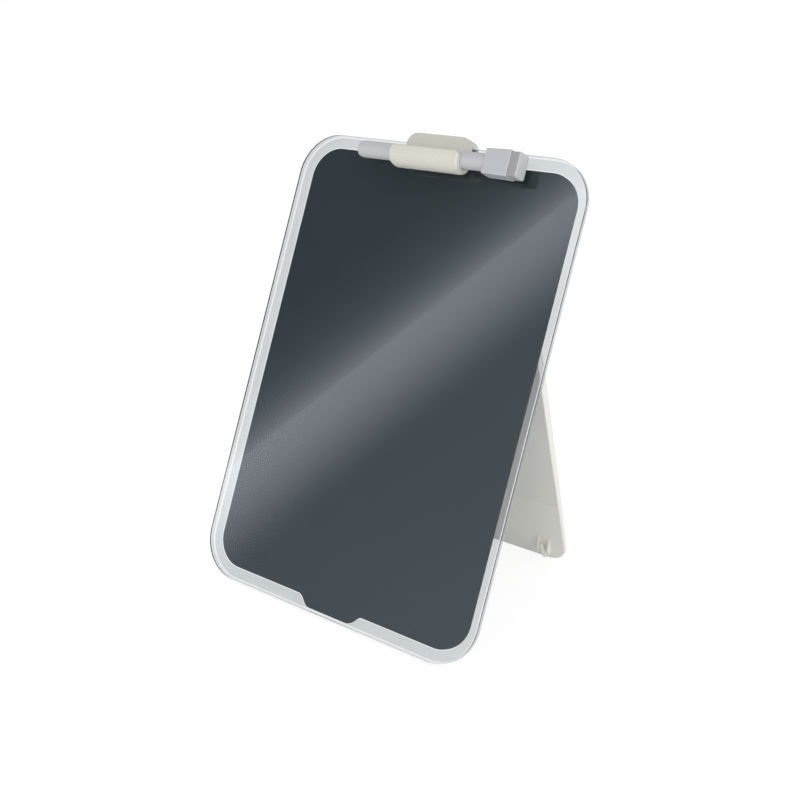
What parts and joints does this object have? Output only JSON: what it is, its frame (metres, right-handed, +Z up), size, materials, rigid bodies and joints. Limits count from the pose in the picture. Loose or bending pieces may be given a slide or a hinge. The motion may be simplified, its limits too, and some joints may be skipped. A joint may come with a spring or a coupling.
{
  "type": "desktop whiteboard easel",
  "caption": "Glass magnetic dry-erase board leaning on a hinged fold-out stand, with a sliding clip on its top edge holding a capped marker that ends in a felt eraser.",
  "frame": {"origin": "on the desk, midway between the toe of the board and the back of the stand's foot, on the centre line", "axes": "+X to the reader's right along the hinge, +Y away from the reader, +Z up"},
  "size_m": [0.216, 0.1574, 0.2865],
  "materials": {
    "clear_glass": "polished, with a fine ground edge",
    "slate_film": "smooth, under the glass",
    "backing_steel": "coated sheet, satin",
    "adhesive_tape": "foam tape",
    "cream_plastic": "smooth moulded, satin gloss",
    "cream_cover": "fine moulded texture, satin",
    "pin_steel": "drawn rod",
    "foot_rubber": "soft, matte",
    "sleeve_nylon": "smooth",
    "liner_silicone": "soft, matte",
    "marker_plastic": "smooth moulded",
    "reservoir_fibre": "ink-soaked fibre",
    "holder_plastic": "moulded",
    "nib_fibre": "bullet nib, inked",
    "seal_plastic": "soft inner cap",
    "magnet_nickel": "nickel plated",
    "eraser_felt": "dense felt"
  },
  "bodies": {
    "board": {"glass_panel": "clear_glass", "colour_film": "slate_film", "steel_sheet": "backing_steel", "hinge_tape": "adhesive_tape", "hinge_base": "cream_plastic", "hinge_pin": "pin_steel", "pin_cap_left": "cream_plastic", "pin_cap_right": "cream_plastic"},
    "stand": {"stand_shell": "cream_plastic", "stand_cover": "cream_cover", "rubber_foot_left": "foot_rubber", "rubber_foot_right": "foot_rubber", "friction_sleeve_left": "sleeve_nylon", "friction_sleeve_right": "sleeve_nylon"},
    "clip": {"clip_body": "cream_plastic", "clip_liner": "liner_silicone"},
    "pen": {"pen_barrel": "marker_plastic", "end_plug": "marker_plastic", "ink_reservoir": "reservoir_fibre", "nib_holder": "holder_plastic", "nib": "nib_fibre"},
    "cap": {"cap_shell": "marker_plastic", "cap_seal": "seal_plastic", "cap_magnet": "magnet_nickel", "eraser_felt": "eraser_felt"}
  },
  "joints": [
    {"name": "stand_fold", "type": "hinge", "parent": "board", "child": "stand", "pos_m": [0, 0.01789, 0.18538], "axis": [-1, 0, 0], "range_deg": [0, 42.5]},
    {"name": "clip_slide", "type": "slide", "parent": "board", "child": "clip", "axis": [1, 0, 0], "range_m": [-0.048, 0.048]},
    {"name": "pen_lift", "type": "slide", "parent": "clip", "child": "pen", "axis": [0, 0.4099, 0.9121], "range_m": [0, 0.04]},
    {"name": "cap_pull", "type": "slide", "parent": "pen", "child": "cap", "axis": [1, 0, 0], "range_m": [0, 0.03]}
  ]
}
